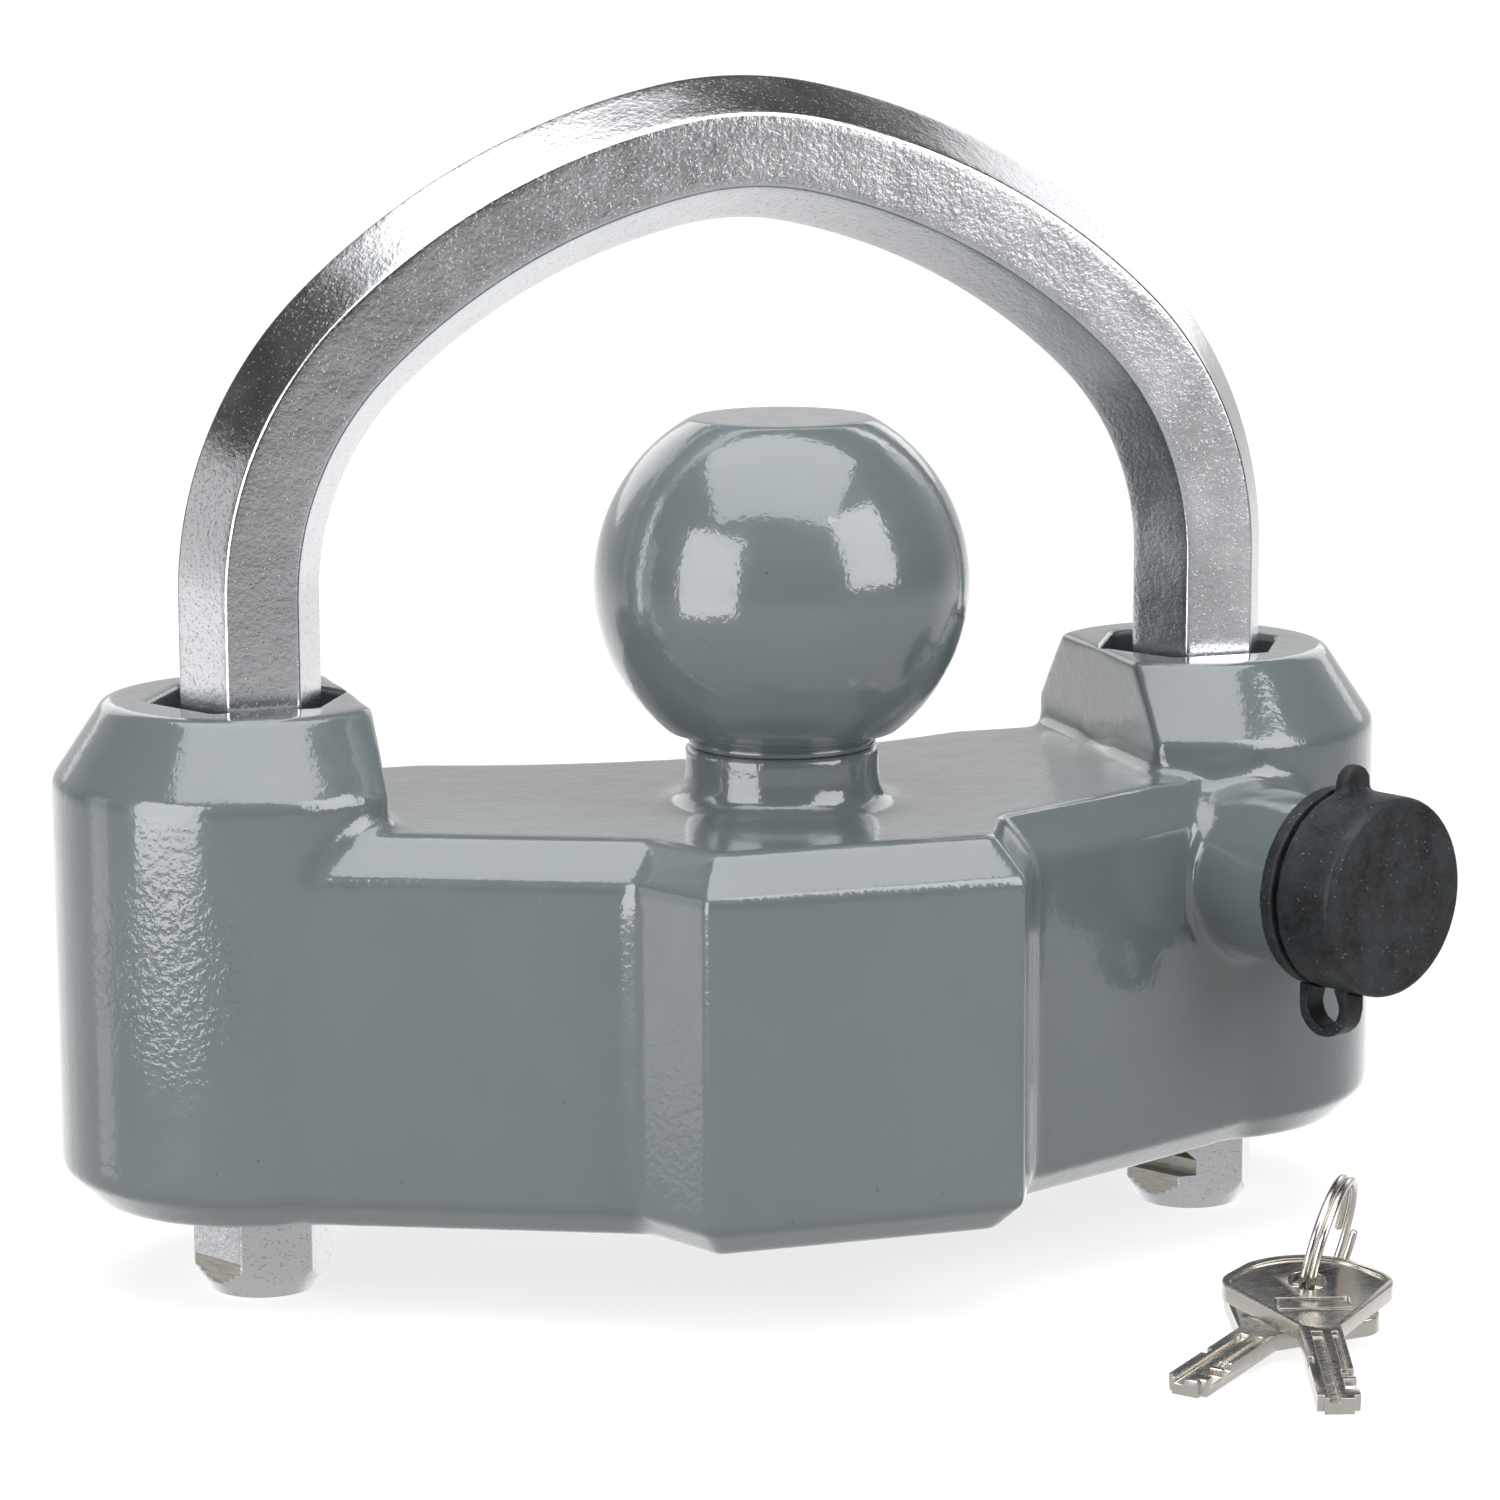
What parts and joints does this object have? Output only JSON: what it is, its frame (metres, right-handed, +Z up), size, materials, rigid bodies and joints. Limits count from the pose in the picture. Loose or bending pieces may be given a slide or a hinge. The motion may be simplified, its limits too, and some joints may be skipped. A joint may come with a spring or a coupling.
{
  "type": "trailer coupler lock",
  "caption": "Universal trailer coupler lock: painted cast body with a ball, ratcheting hexagonal U-shackle, keyed barrel under a rubber dust cap, and keys on a split ring.",
  "frame": {"origin": "on the flat underside of the lock body, midway between the axes of the two shackle legs", "axes": "+X towards the shackle leg with the notches, +Z up through the ball, so -Y is the front with the lock barrel"},
  "size_m": [0.1794, 0.1216, 0.154],
  "materials": {
    "enamel": "glossy blue-grey enamel over a casting with slight orange peel",
    "zinc_plate": "bright zinc plate on a rolled bar with a lightly hammered, pitted skin",
    "machined_steel": "machined steel",
    "brass": "machined brass",
    "rubber": "matt black moulded rubber, slightly dusty",
    "nickel_plate": "stamped and nickel plated, fine scratches"
  },
  "bodies": {
    "body": {"lock_body": "enamel", "coupler_ball": "enamel", "cap_ring": "rubber", "cap_strap": "rubber", "lock_shell": "machined_steel", "shell_pin": "machined_steel", "pawl_spring": "machined_steel"},
    "shackle": {"shackle": "zinc_plate"},
    "plug": {"lock_plug": "brass", "drill_guard": "machined_steel", "lock_discs": "brass", "disc_spacers": "machined_steel", "side_bar": "machined_steel", "plug_clip": "machined_steel", "drive_pin": "machined_steel"},
    "pawl": {"pawl": "machined_steel"},
    "cap": {"dust_cap": "rubber"},
    "keys": {"key_1": "nickel_plate", "key_2": "nickel_plate", "key_ring": "nickel_plate"}
  },
  "joints": [
    {"name": "shackle_slide", "type": "slide", "parent": "body", "child": "shackle", "axis": [0, 0, 1], "range_m": [-0.00725, 0.08]},
    {"name": "plug_turn", "type": "hinge", "parent": "body", "child": "plug", "pos_m": [0.06465, -0.02752, 0.0382], "axis": [0.4147, -0.91, 0], "range_deg": [-90, 0]},
    {"name": "pawl_slide", "type": "slide", "parent": "body", "child": "pawl", "axis": [0.866, 0.5, 0], "range_m": [0, 0.0023], "deforming": ["pawl_spring"]},
    {"name": "cap_pull", "type": "slide", "parent": "body", "child": "cap", "axis": [0.4147, -0.91, 0], "range_m": [0, 0.012], "deforming": ["cap_strap"]},
    {"name": "key_lift", "type": "slide", "parent": "body", "child": "keys", "axis": [0, -0.7071, 0.7071], "range_m": [0, 0.1]}
  ],
  "couplings": [
    {"joint": "pawl_slide", "follows": "plug_turn", "m_per_rad": -0.001464}
  ]
}
